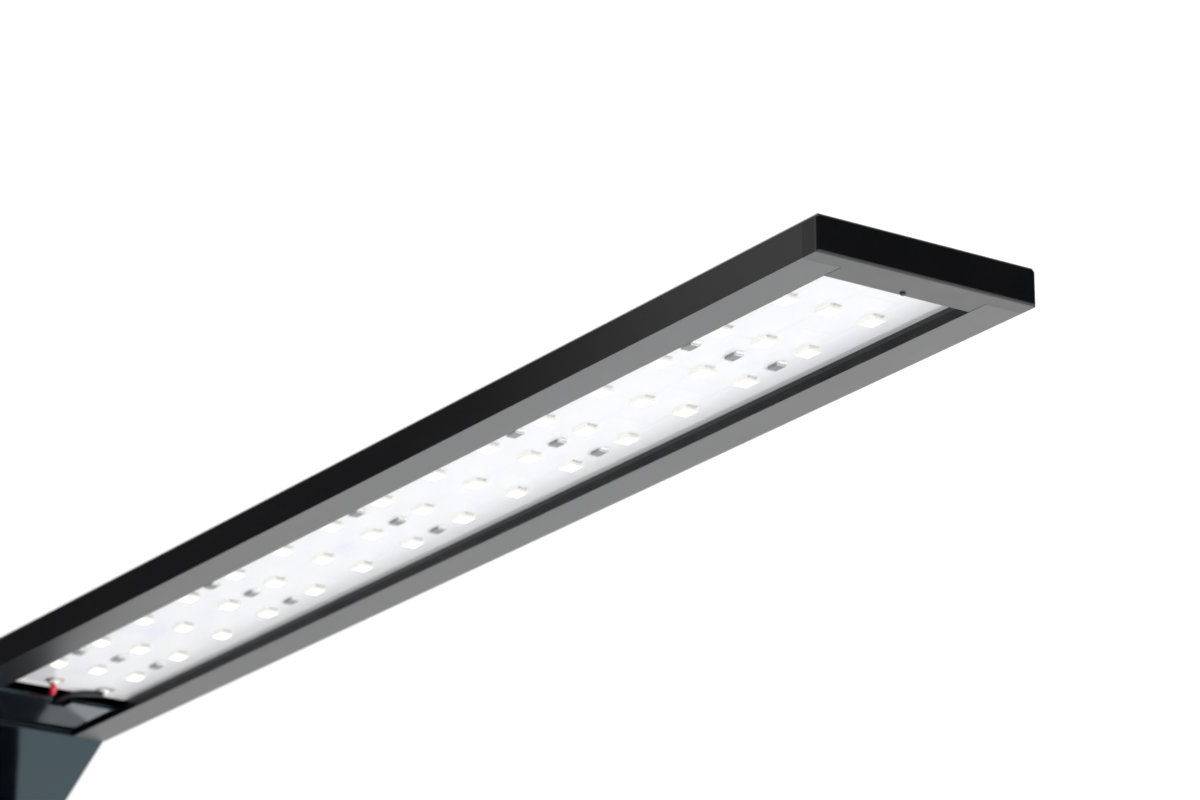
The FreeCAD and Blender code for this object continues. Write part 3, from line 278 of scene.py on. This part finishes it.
def black_plastic():
    """Moulded black plastic with a fine spark-eroded skin."""
    made = Finish("black_plastic", (0.0030, 0.0032, 0.0042), 0.26, ior=1.6, soften=0.25 * MM)
    grain = made.noise(0.35 * MM, 3.0)
    made.relief(grain, 0.016 * MM)
    made.roughen(made.noise(6 * MM, 2.0), 0.10)
    dusty(made, 0.12, colour=(0.16, 0.17, 0.26))
    made.worn_edges((0.030, 0.030, 0.034), 0.3 * MM, 0.5)
    return made.done()


def gloss_black():
    """Polished black moulding of the neck and its cover."""
    made = Finish("gloss_black", (0.0022, 0.0028, 0.0040), 0.075, ior=1.62, soften=0.35 * MM)
    # Painted reflection: every reflection on this moulding is tinted teal, standing in for teal
    # surroundings mirrored in it.
    made.bsdf.inputs["Specular Tint"].default_value = (0.55, 0.78, 0.90, 1.0)
    made.relief(made.noise(11 * MM, 2.0, (2, 1, 1)), 0.030 * MM)
    made.relief(made.noise(2.2 * MM, 2.0), 0.0012 * MM)
    smear = made.band(made.noise(16 * MM, 4.0, seed=9.0), 0.45, 0.75)
    made.roughen(smear, 0.07)
    dusty(made, 0.10, 0.06 * MM)
    hairlines(made, 0.20, (0.05, 0.05, 0.055))
    return made.done()


def white_board():
    """White solder resist over the copper of the LED board."""
    made = Finish("white_board", (0.50, 0.502, 0.507), 0.32, soften=0.05 * MM)
    # Painted light: the board glows faintly, standing in for the LEDs' scattered light that lightens it
    # near the lips.
    made.bsdf.inputs["Emission Color"].default_value = (0.99, 0.99, 1.0, 1.0)
    made.bsdf.inputs["Emission Strength"].default_value = 0.33
    weave = made.noise(0.7 * MM, 2.0)
    made.tint(made.band(made.noise(12 * MM, 3.0, (3, 1, 1)), 0.45, 0.75), (0.47, 0.474, 0.49))
    made.relief(weave, 0.006 * MM)
    tracks = made.add("ShaderNodeTexBrick")
    made.feed(tracks.inputs["Vector"], made.place)
    for name, value in (("Scale", 1.0), ("Brick Width", LED_PITCH), ("Row Height", LED_ROW_PITCH),
                        ("Mortar Size", 0.5 * MM), ("Mortar Smooth", 0.4), ("Bias", 0.0)):
        tracks.inputs[name].default_value = value
    made.relief(tracks.outputs["Fac"], -0.035 * MM)
    made.tint(made.calculate("MULTIPLY", tracks.outputs["Fac"], 0.35), (0.46, 0.465, 0.47))
    made.tint(made.specks(5 * MM, 0.12 * MM, 0.3), (0.55, 0.52, 0.48))
    return made.done()


def grey_tape():
    """Thermal tape with a woven glass carrier."""
    made = Finish("grey_tape", (0.36, 0.37, 0.39), 0.75)
    weave = made.noise(0.6 * MM, 2.0)
    made.tint(weave, (0.28, 0.29, 0.31))
    made.relief(weave, 0.03 * MM)
    return made.done()


def clear_plastic():
    """Clear strip: see-through with a Fresnel shine, faint streaks and bluish patches of painted
    reflection.
    """
    made = Finish("clear_plastic", (0.93, 0.95, 0.97), 0.04, soften=0.03 * MM)
    streaks = made.noise(0.8 * MM, 2.0, (120, 1, 1), seed=6.0)
    # Painted reflection: broad bluish patches tint the strip where faint ghost reflections show.
    bluish_reflection_patches = made.band(made.noise(13 * MM, 3.0, (1.6, 1, 1), seed=8.0), 0.60, 0.70)
    made.relief(streaks, 0.002 * MM)
    clear = made.add("ShaderNodeBsdfTransparent")
    haze = made.add("ShaderNodeBsdfDiffuse")
    shine = made.add("ShaderNodeBsdfGlossy")
    haze.inputs["Color"].default_value = (0.72, 0.74, 0.92, 1.0)
    shine.inputs["Roughness"].default_value = 0.05
    tint = made.add("ShaderNodeMix", data_type="RGBA")
    made.feed(tint.inputs["Factor"], bluish_reflection_patches)
    made.feed(tint.inputs[6], (0.985, 0.99, 0.995, 1.0))
    made.feed(tint.inputs[7], (0.955, 0.960, 0.990, 1.0))
    made.feed(clear.inputs["Color"], tint.outputs[2])
    hazed = made.add("ShaderNodeMixShader")
    scuffed = made.band(streaks, 0.66, 0.74, 0.0, 0.05)
    made.feed(hazed.inputs[0], scuffed)
    made.feed(hazed.inputs[1], clear.outputs[0])
    made.feed(hazed.inputs[2], haze.outputs[0])
    fresnel = made.add("ShaderNodeFresnel")
    fresnel.inputs["IOR"].default_value = 1.49
    inside = made.add("ShaderNodeNewGeometry").outputs["Backfacing"]
    outside = made.calculate("SUBTRACT", 1.0, inside)
    shiny = made.add("ShaderNodeMixShader")
    made.feed(shiny.inputs[0], made.calculate("MULTIPLY", fresnel.outputs[0], outside))
    made.feed(shiny.inputs[1], hazed.outputs[0])
    made.feed(shiny.inputs[2], shine.outputs[0])
    output = made.tree.nodes["Material Output"]
    made.feed(output.inputs["Surface"], shiny.outputs[0])
    made.tree.nodes.remove(made.bsdf)
    return made.material


def led_white():
    """Cream-white ceramic-filled plastic of the LED packages."""
    made = Finish("led_white", (0.60, 0.585, 0.55), 0.42, soften=0.06 * MM)
    made.relief(made.noise(0.3 * MM, 2.0), 0.006 * MM)
    made.tint(made.band(made.noise(0.9 * MM, 2.0), 0.5, 0.7), (0.52, 0.49, 0.44))
    # Painted light: the package body glows warm, standing in for the lit LED's light spreading through
    # the white plastic.
    made.bsdf.inputs["Emission Color"].default_value = (1.0, 0.95, 0.84, 1.0)
    made.bsdf.inputs["Emission Strength"].default_value = 0.45
    return made.done()


def led_phosphor():
    """Lit window of an LED: warm phosphor under clear resin, brighter in patches."""
    made = Finish("led_phosphor", (0.95, 0.85, 0.45), 0.22, soften=0.05 * MM)
    glow = made.band(made.noise(1.1 * MM, 2.0), 0.3, 0.7, 2.2, 3.0)
    made.relief(made.noise(1.0 * MM, 2.0), 0.01 * MM)
    made.bsdf.inputs["Emission Color"].default_value = (1.0, 0.985, 0.95, 1.0)
    made.feed(made.bsdf.inputs["Emission Strength"], glow)
    return made.done()


def resistor_black():
    """Glazed dark body of a chip resistor."""
    made = Finish("resistor_black", (0.018, 0.019, 0.023), 0.28, soften=0.05 * MM)
    made.relief(made.noise(0.25 * MM, 2.0), 0.006 * MM)
    made.tint(made.band(made.noise(0.5 * MM, 2.0), 0.5, 0.75), (0.05, 0.05, 0.06))
    return made.done()


def metal(name, colour, rough, grain=0.3 * MM, depth=0.006 * MM, tarnish=None):
    """Bare or plated metal with a fine grain and, where given, a tarnish."""
    made = Finish(name, colour, rough, 1.0, soften=0.08 * MM)
    surface = made.noise(grain, 3.0)
    made.relief(surface, depth)
    made.roughen(surface, 0.12)
    if tarnish:
        made.tint(made.band(made.noise(4.0 * grain, 4.0, seed=3.0), 0.45, 0.70), tarnish)
    return made.done()


def turned_steel(name, colour, rough):
    """Steel with faint turning rings and worn edges."""
    made = Finish(name, colour, rough, 1.0, soften=0.10 * MM)
    rings = made.noise(0.18 * MM, 1.0, (1, 6, 6))
    made.relief(rings, 0.005 * MM)
    made.roughen(made.noise(1.5 * MM, 3.0), 0.15)
    made.worn_edges((0.42, 0.42, 0.43), 0.2 * MM, 0.5)
    return made.done()


def soft_skin(name, colour, rough, grain=0.4 * MM, depth=0.02 * MM, bloom=(0.03, 0.03, 0.032)):
    """Rubber or soft cable sheath with a pale bloom."""
    made = Finish(name, colour, rough, soften=0.2 * MM)
    surface = made.noise(grain, 3.0)
    made.relief(surface, depth)
    made.tint(made.band(made.noise(5 * MM, 4.0, seed=2.0), 0.50, 0.75), bloom)
    made.roughen(surface, 0.12)
    dusty(made, 0.10, 0.06 * MM)
    return made.done()


def wire_skin(name, colour):
    """Shiny thin insulation of an inside lead."""
    made = Finish(name, colour, 0.30, soften=0.03 * MM)
    made.relief(made.noise(0.9 * MM, 2.0, (3, 1, 1)), 0.02 * MM)
    made.roughen(made.noise(2 * MM, 2.0), 0.15)
    made.bsdf.inputs["Subsurface Weight"].default_value = 0.1
    made.bsdf.inputs["Subsurface Radius"].default_value = (0.4 * MM, 0.1 * MM, 0.1 * MM)
    return made.done()


def switch_grey():
    """Grey moulded plastic of the switch button."""
    made = Finish("switch_grey", (0.14, 0.145, 0.15), 0.42, soften=0.25 * MM)
    made.relief(made.noise(0.4 * MM, 3.0), 0.015 * MM)
    made.roughen(made.noise(5 * MM, 2.0), 0.12)
    made.worn_edges((0.24, 0.24, 0.245), 0.3 * MM, 0.5)
    return made.done()


def make_finishes():
    """Every material slot with its finish."""
    return {
        "black_anodised": black_anodised(),
        "black_plastic": black_plastic(),
        "gloss_black": gloss_black(),
        "white_board": white_board(),
        "grey_tape": grey_tape(),
        "clear_plastic": clear_plastic(),
        "led_white": led_white(),
        "led_phosphor": led_phosphor(),
        "resistor_black": resistor_black(),
        "tin": metal("tin", (0.62, 0.62, 0.60), 0.30, tarnish=(0.42, 0.39, 0.34)),
        "solder": metal("solder", (0.88, 0.87, 0.84), 0.20, 0.5 * MM, 0.03 * MM, (0.70, 0.66, 0.58)),
        "wire_red": wire_skin("wire_red", (0.72, 0.012, 0.025)),
        "wire_black": wire_skin("wire_black", (0.012, 0.012, 0.014)),
        "black_steel": turned_steel("black_steel", (0.045, 0.045, 0.05), 0.34),
        "screw_steel": turned_steel("screw_steel", (0.50, 0.50, 0.51), 0.26),
        "black_rubber": soft_skin("black_rubber", (0.012, 0.012, 0.013), 0.68),
        "brass": metal("brass", (0.80, 0.58, 0.26), 0.26, tarnish=(0.55, 0.38, 0.18)),
        "cable_black": soft_skin("cable_black", (0.010, 0.010, 0.011), 0.42, 0.6 * MM, 0.012 * MM),
        "switch_grey": switch_grey(),
        "contact_block": soft_skin("contact_block", (0.45, 0.44, 0.41), 0.55),
        "flux_ring": flux_ring(),
        "plug_metal": metal("plug_metal", (0.78, 0.77, 0.74), 0.18, tarnish=(0.62, 0.60, 0.55)),
    }


def dress_cad_nodes(finishes):
    """Give each CAD node the finish of its material slot."""
    slots = {part["node"]: part["material_slot"] for part in frame["record"]["subparts"]}
    for name, node in frame["nodes"].items():
        node.data.materials.clear()
        node.data.materials.append(finishes[slots[name]])


# ---------------------------------------------------------------- mesh helpers

def solids(node):
    """The (lowest, highest) corners of each separate solid of a CAD node."""
    mesh = frame["nodes"][node].data
    joined = {}
    home = list(range(len(mesh.vertices)))

    def root(index):
        while home[index] != index:
            home[index] = home[home[index]]
            index = home[index]
        return index

    for vertex in mesh.vertices:
        key = tuple(round(value / (0.001 * MM)) for value in vertex.co)
        home[vertex.index] = root(joined.setdefault(key, vertex.index))
    for face in mesh.polygons:
        for index in face.vertices[1:]:
            home[root(index)] = root(face.vertices[0])
    boxes = {}
    for vertex in mesh.vertices:
        low, high = boxes.setdefault(root(vertex.index), (vertex.co.copy(), vertex.co.copy()))
        for axis in range(3):
            low[axis] = min(low[axis], vertex.co[axis])
            high[axis] = max(high[axis], vertex.co[axis])
    return list(boxes.values())


def new_piece(name, built, finish, body):
    """Turn a bmesh into a shown piece with a finish, riding on a body."""
    bmesh.ops.recalc_face_normals(built, faces=built.faces)
    mesh = bpy.data.meshes.new(name)
    built.to_mesh(mesh)
    built.free()
    made = bpy.data.objects.new(name, mesh)
    bpy.context.scene.collection.objects.link(made)
    mesh.materials.append(finish)
    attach(made, body)
    return made


def lathe(built, rings, steps, centre, axis="Z"):
    """A closed turned solid: rings are (along the axis, radius) from one end to the other."""
    rows = []
    for along, radius in rings:
        row = []
        for step in range(steps):
            turn = FULL_TURN * step / steps
            flat = (radius * math.cos(turn), radius * math.sin(turn))
            offset = (*flat, along) if axis == "Z" else (along, *flat)
            row.append(built.verts.new(centre + Vector(offset)))
        rows.append(row)
    for low, high in zip(rows, rows[1:]):
        for step in range(steps):
            after = (step + 1) % steps
            built.faces.new((low[step], low[after], high[after], high[step]))
    built.faces.new(rows[0])
    built.faces.new(rows[-1])


# ---------------------------------------------------------------- extra pieces

def fillet_profile(reach, rise, steps=4):
    """Points of a concave solder fillet from its toe to its top, as (outwards, up)."""
    points = []
    for step in range(steps + 1):
        turn = 0.5 * math.pi * step / steps
        points.append((reach * (1 - math.sin(turn)), rise * (1 - math.cos(turn))))
    return points


def add_fillet(built, wall_x, outwards, y_middle, half_width, board_z, reach, rise, pad):
    """One solder fillet, on its pad, against the end of a chip. Up is away from the board."""
    section = [(-0.02 * MM, 0.0), (pad, 0.0), (pad, 0.04 * MM)]
    section += [(out, 0.04 * MM + up) for out, up in fillet_profile(reach, rise)]
    section += [(-0.02 * MM, 0.04 * MM + rise)]
    sides = []
    for side in (-1, 1):
        row = []
        for out, up in section:
            narrow = 1.0 - 0.25 * max(0.0, 1.0 - out / pad) * (up / (rise + 0.04 * MM))
            place = (wall_x + outwards * out, y_middle + side * half_width * narrow, board_z - up)
            row.append(built.verts.new(place))
        sides.append(row)
    count = len(section)
    for index in range(count):
        after = (index + 1) % count
        built.faces.new((sides[0][index], sides[0][after], sides[1][after], sides[1][index]))
    built.faces.new(sides[0])
    built.faces.new(sides[1])


def chip_solder(name, node, finish, reach, rise, width_share, terminal=0.0):
    """Solder fillets and pads at both ends of every chip of a CAD node, past its terminals."""
    board_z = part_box("led_board")[0].z
    built = bmesh.new()
    for low, high in solids(node):
        half = 0.5 * (high.y - low.y) * width_share
        middle = 0.5 * (low.y + high.y)
        for wall_x, outwards in ((low.x - terminal, -1), (high.x + terminal, 1)):
            add_fillet(built, wall_x, outwards, middle, half, board_z, reach, rise, 1.5 * reach)
    return new_piece(name, built, finish, "lamp")


def wire_pads(finishes):
    """Ring of tinned copper round each lead's solder joint, with its brown flux stain."""
    board_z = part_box("led_board")[0].z
    built = bmesh.new()
    for low, high in solids("solder_joints"):
        centre = Vector((0.5 * (low.x + high.x), 0.5 * (low.y + high.y), board_z))
        radius = 0.5 * (high.y - low.y)
        rings = [(-0.02 * MM, radius * 0.95), (-0.02 * MM, radius * 1.62), (-0.05 * MM, radius * 1.56),
                 (-0.07 * MM, radius * 1.30), (-0.12 * MM, radius * 1.08), (-0.22 * MM, radius * 0.95)]
        lathe(built, rings, 48, centre)
    return new_piece("wire_pads", built, finishes["flux_ring"], "lamp")


def flux_ring():
    """Tinned copper under dried flux, brown at its rim."""
    made = Finish("flux_ring", (0.52, 0.46, 0.36), 0.30, 0.35, soften=0.05 * MM)
    made.tint(made.band(made.noise(0.8 * MM, 3.0), 0.40, 0.65), (0.26, 0.20, 0.13))
    made.relief(made.noise(0.4 * MM, 2.0), 0.02 * MM)
    return made.done()


def helix_rows(start, end, root, outer, middle, steps):
    """Rings of points that wind along X as a thread, four rings to a turn."""
    profile = [(0.0, root), (0.22, root), (0.44, outer), (0.56, outer)]
    lead_in = 0.3
    turns = int((end - start) / THREAD_PITCH) - 2
    rows = []
    for index in range(turns * 4 + 1):
        along, radius = profile[index % 4]
        row = []
        for step in range(steps):
            x_place = start + THREAD_PITCH * (lead_in + index // 4 + along + step / steps)
            turn = FULL_TURN * step / steps
            row.append(middle + Vector((x_place, radius * math.cos(turn), radius * math.sin(turn))))
        rows.append(row)
    return rows


def close_thread_end(built, rim, centre):
    """A fan of faces from an end's rim to its middle."""
    hub = built.verts.new(centre)
    for index, vertex in enumerate(rim):
        built.faces.new((hub, vertex, rim[(index + 1) % len(rim)]))


def thread_rod(name, side, finishes):
    """A real M6 thread in place of the plain rod of a thumbscrew, with its pivot tip."""
    low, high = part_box("thumbscrew_" + side)
    outer = 0.5 * (high.y - low.y)
    start, end = low.x, high.x - PIVOT_LONG
    middle = Vector((0.0, 0.5 * (low.y + high.y), 0.5 * (low.z + high.z)))
    steps = 40
    built = bmesh.new()
    rows = []
    for places in helix_rows(start, end, outer - THREAD_DEPTH, outer, middle, steps):
        rows.append([built.verts.new(place) for place in places])

    def winding(index, step):
        return rows[index][step] if step < steps else rows[index + 4][0]

    for index in range(len(rows) - 1):
        for step in range(steps):
            if step == steps - 1 and index + 5 >= len(rows):
                continue
            built.faces.new((winding(index, step), winding(index, step + 1),
                             winding(index + 1, step + 1), winding(index + 1, step)))
    last = len(rows) - 1
    start_rim = rows[0] + [rows[index][0] for index in (4, 3, 2, 1)]
    end_rim = rows[last] + [rows[index][steps - 1] for index in range(last - 1, last - 5, -1)]
    close_thread_end(built, start_rim, middle + Vector((start, 0.0, 0.0)))
    close_thread_end(built, end_rim, middle + Vector((end, 0.0, 0.0)))
    lathe(built, [(end - 0.4 * MM, PIVOT_RADIUS), (high.x - 0.3 * MM, PIVOT_RADIUS),
                  (high.x, PIVOT_RADIUS - 0.3 * MM)], 32, middle, "X")
    made = new_piece(name, built, finishes["black_steel"], "thumbscrew_%s_body" % side)
    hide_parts("thumbscrew_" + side)
    return made


def gate_mark(finishes):
    """Small moulding-gate stub on the underside of the end cap's flange."""
    low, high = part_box("head_extrusion")
    built = bmesh.new()
    centre = Vector((high.x - 3.4 * MM, 0.5 * MM, low.z))
    rings = [(0.15 * MM, 0.55 * MM), (0.0, 0.55 * MM), (-0.25 * MM, 0.42 * MM), (-0.32 * MM, 0.25 * MM)]
    lathe(built, rings, 20, centre)
    return new_piece("gate_mark", built, finishes["black_plastic"], "lamp")


def add_extra_pieces(finishes):
    """The small pieces that the CAD frame doesn't hold."""
    chip_solder("led_solder", "led_packages", finishes["tin"], 0.30 * MM, 0.22 * MM, 0.72)
    cap_low, cap_high = solids("resistor_terminals")[0]
    chip_solder("resistor_solder", "chip_resistors", finishes["solder"], 0.5 * MM, 0.3 * MM, 1.05,
                cap_high.x - cap_low.x)
    wire_pads(finishes)
    gate_mark(finishes)
    for side in ("left", "right"):
        thread_rod("threaded_rod_" + side, side, finishes)


# ---------------------------------------------------------------- studio

def stage_plane(name, size, centre, colour, rough):
    """A flat stage sheet with a matt, faintly mottled finish."""
    bpy.ops.mesh.primitive_grid_add(x_subdivisions=4, y_subdivisions=4, size=size, location=centre)
    made = bpy.context.object
    made.name = name
    finish = Finish(name, colour, rough)
    finish.tint(finish.noise(0.4, 2.0), [0.97 * value for value in colour])
    made.data.materials.append(finish.done())
    return made


def area_light(name, centre, target, size, watts, colour=(1, 1, 1), shiny=False):
    """A soft rectangular light; unless shiny it lights surfaces without showing in them."""
    data = bpy.data.lights.new(name, "AREA")
    data.shape = "RECTANGLE"
    data.size, data.size_y = size
    data.energy = watts
    data.color = colour
    made = bpy.data.objects.new(name, data)
    bpy.context.scene.collection.objects.link(made)
    made.location = centre
    made.rotation_mode = "QUATERNION"
    made.rotation_quaternion = (Vector(target) - Vector(centre)).to_track_quat("-Z", "Y")
    made.visible_camera = False
    made.visible_glossy = shiny
    return made


def compass(azimuth, elevation):
    """Unit direction: azimuth anticlockwise from +X, both angles in degrees."""
    turn, tilt = math.radians(azimuth), math.radians(elevation)
    return Vector((math.cos(turn) * math.cos(tilt), math.sin(turn) * math.cos(tilt), math.sin(tilt)))


def studio_world():
    """White to the camera; to everything else a dim room with soft white panels."""
    world = bpy.data.worlds.new("studio")
    bpy.context.scene.world = world
    world.use_nodes = True
    tree = world.node_tree
    nodes, links = tree.nodes, tree.links
    nodes.clear()
    direction = nodes.new("ShaderNodeTexCoord").outputs["Generated"]

    def arithmetic(operation, first, second):
        made = nodes.new("ShaderNodeMath")
        made.operation = operation
        for socket, value in zip(made.inputs, (first, second)):
            if isinstance(value, bpy.types.NodeSocket):
                links.new(value, socket)
            else:
                socket.default_value = value
        return made.outputs[0]

    level = nodes.new("ShaderNodeValue").outputs[0]
    level.default_value = ROOM_LEVEL
    for azimuth, elevation, inner, outer, strength in PANELS:
        dot = nodes.new("ShaderNodeVectorMath")
        dot.operation = "DOT_PRODUCT"
        links.new(direction, dot.inputs[0])
        dot.inputs[1].default_value = compass(azimuth, elevation)
        soft = nodes.new("ShaderNodeMapRange")
        soft.interpolation_type = "SMOOTHSTEP"
        links.new(dot.outputs["Value"], soft.inputs["Value"])
        soft.inputs["From Min"].default_value = math.cos(math.radians(outer))
        soft.inputs["From Max"].default_value = math.cos(math.radians(inner))
        soft.inputs["To Max"].default_value = strength
        level = arithmetic("ADD", level, soft.outputs["Result"])
    camera_ray = nodes.new("ShaderNodeLightPath").outputs["Is Camera Ray"]
    room = nodes.new("ShaderNodeBackground")
    links.new(level, room.inputs["Strength"])
    room.inputs["Color"].default_value = (0.98, 0.985, 1.0, 1.0)
    white = nodes.new("ShaderNodeBackground")
    white.inputs["Color"].default_value = (1.0, 1.0, 1.0, 1.0)
    white.inputs["Strength"].default_value = BACKDROP_LEVEL
    chosen = nodes.new("ShaderNodeMixShader")
    links.new(camera_ray, chosen.inputs[0])
    links.new(room.outputs[0], chosen.inputs[1])
    links.new(white.outputs[0], chosen.inputs[2])
    output = nodes.new("ShaderNodeOutputWorld")
    links.new(chosen.outputs[0], output.inputs["Surface"])


def build_studio():
    """Pale floor, soft lights and the room's reflections."""
    stage_plane("floor", 6.0, (0.15, 0.0, FLOOR_Z), (FLOOR_GREY, FLOOR_GREY, FLOOR_GREY), 0.85)
    area_light("overhead", (0.05, 0.65, 0.80), (0.05, 0.65, 0.0), (1.0, 1.0), 18.2)
    side_card = area_light("side_card", (0.245, -0.10, 0.11), (0.245, 0.0, 0.09),
                           (0.20, 0.14), 0.035, shiny=True)
    side_card.visible_diffuse = False
    neck_card = area_light("neck_card", (-0.044, 0.147, FLOOR_Z + 0.006), (-0.044, 0.147, 1.0),
                           (0.16, 0.16), 0.015, (0.15, 0.80, 1.0), shiny=True)
    neck_card.visible_diffuse = False
    studio_world()


def build_camera():
    """Long lens low in front of the free end, looking up along the light."""
    focus = bpy.data.objects.new("focus", None)
    bpy.context.scene.collection.objects.link(focus)
    head_low, head_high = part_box("end_cap")
    focus.location = (head_high.x, head_low.y, head_low.z)
    data = bpy.data.cameras.new("camera")
    data.lens = CAMERA_LENS
    data.sensor_width = 36.0
    data.clip_start, data.clip_end = 0.01, 50.0
    data.dof.use_dof = True
    data.dof.focus_object = focus
    data.dof.aperture_fstop = CAMERA_F_STOP
    camera = bpy.data.objects.new("camera", data)
    bpy.context.scene.collection.objects.link(camera)
    camera.location = CAMERA_PLACE
    camera.rotation_mode = "QUATERNION"
    camera.rotation_quaternion = (CAMERA_AIM - CAMERA_PLACE).to_track_quat("-Z", "Y")
    bpy.context.scene.camera = camera


def main():
    """Dress the frame, add the small pieces, and set up the studio."""
    for name in list(bpy.data.objects.keys()):
        if name in ("Cube", "Light", "Camera"):
            bpy.data.objects.remove(bpy.data.objects[name])
    finishes = make_finishes()
    dress_cad_nodes(finishes)
    add_extra_pieces(finishes)
    build_studio()
    build_camera()
    bpy.context.scene.view_settings.view_transform = "Standard"


main()
